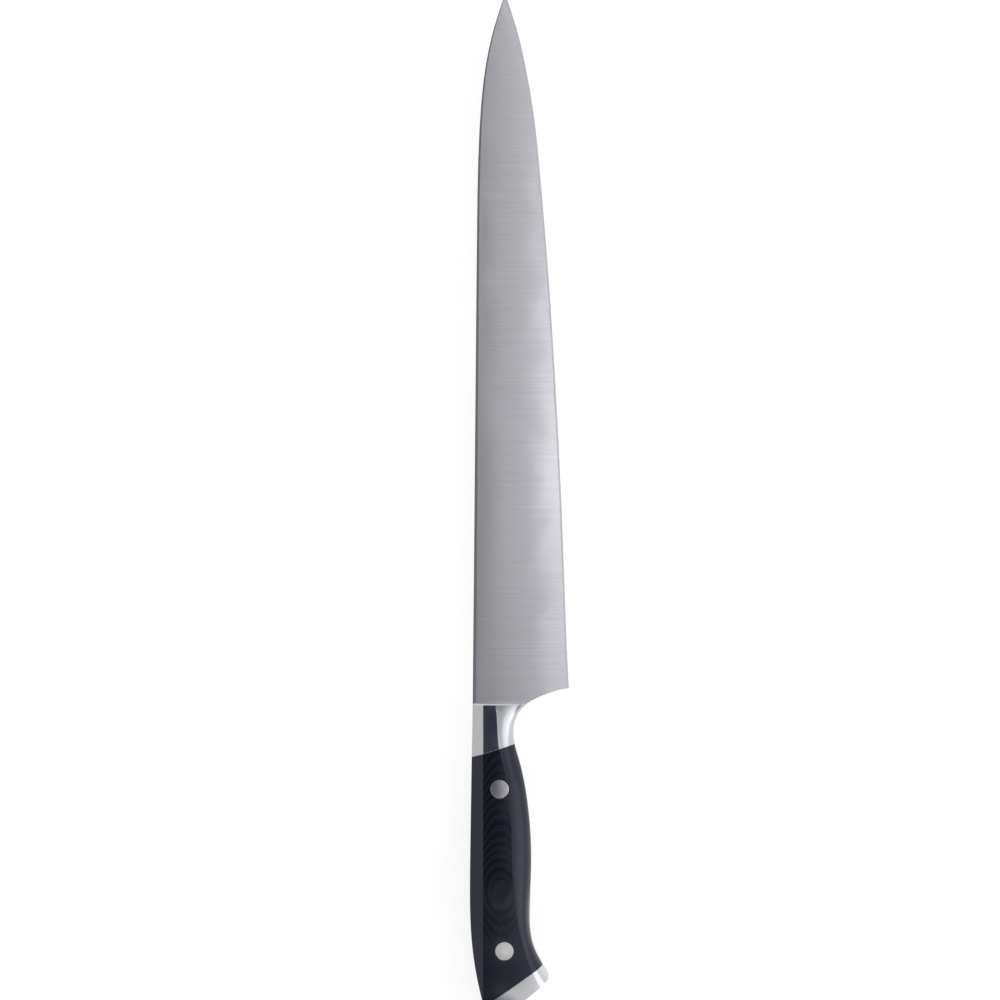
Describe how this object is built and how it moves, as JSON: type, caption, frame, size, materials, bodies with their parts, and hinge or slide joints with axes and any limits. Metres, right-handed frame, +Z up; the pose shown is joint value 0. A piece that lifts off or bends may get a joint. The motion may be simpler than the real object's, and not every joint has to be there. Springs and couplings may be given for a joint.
{
  "type": "carving knife",
  "caption": "Full-tang carving knife: long narrow tapered blade with a curved point, polished bolster, layered dark handle scales, flush rivets and slanted butt cap.",
  "frame": {"origin": "under the middle of the knife's outline, on the surface that the knife lies on, with the left side down", "axes": "+X from the spine to the cutting edge, +Y from the butt to the blade's point, +Z up out of the right side of the knife; Z = 9 mm is the mid-plane of the blade and tang"},
  "size_m": [0.0384, 0.3988, 0.018],
  "materials": {
    "blade_steel": "fine satin grind, brushed from the spine to the edge",
    "polished_steel": "mirror polished",
    "rivet_steel": "polished flush with the handle",
    "laminate": "resin-bonded fibre layers, black on charcoal, semi-gloss, with contour bands where the shape cuts through the layers"
  },
  "bodies": {
    "root": {"blade": "blade_steel", "bolster_right": "polished_steel", "bolster_left": "polished_steel", "scale_right": "laminate", "scale_left": "laminate", "front_rivet_male": "rivet_steel", "front_rivet_female": "rivet_steel", "rear_rivet_male": "rivet_steel", "rear_rivet_female": "rivet_steel", "butt_cap_right": "polished_steel", "butt_cap_left": "polished_steel"}
  },
  "joints": []
}
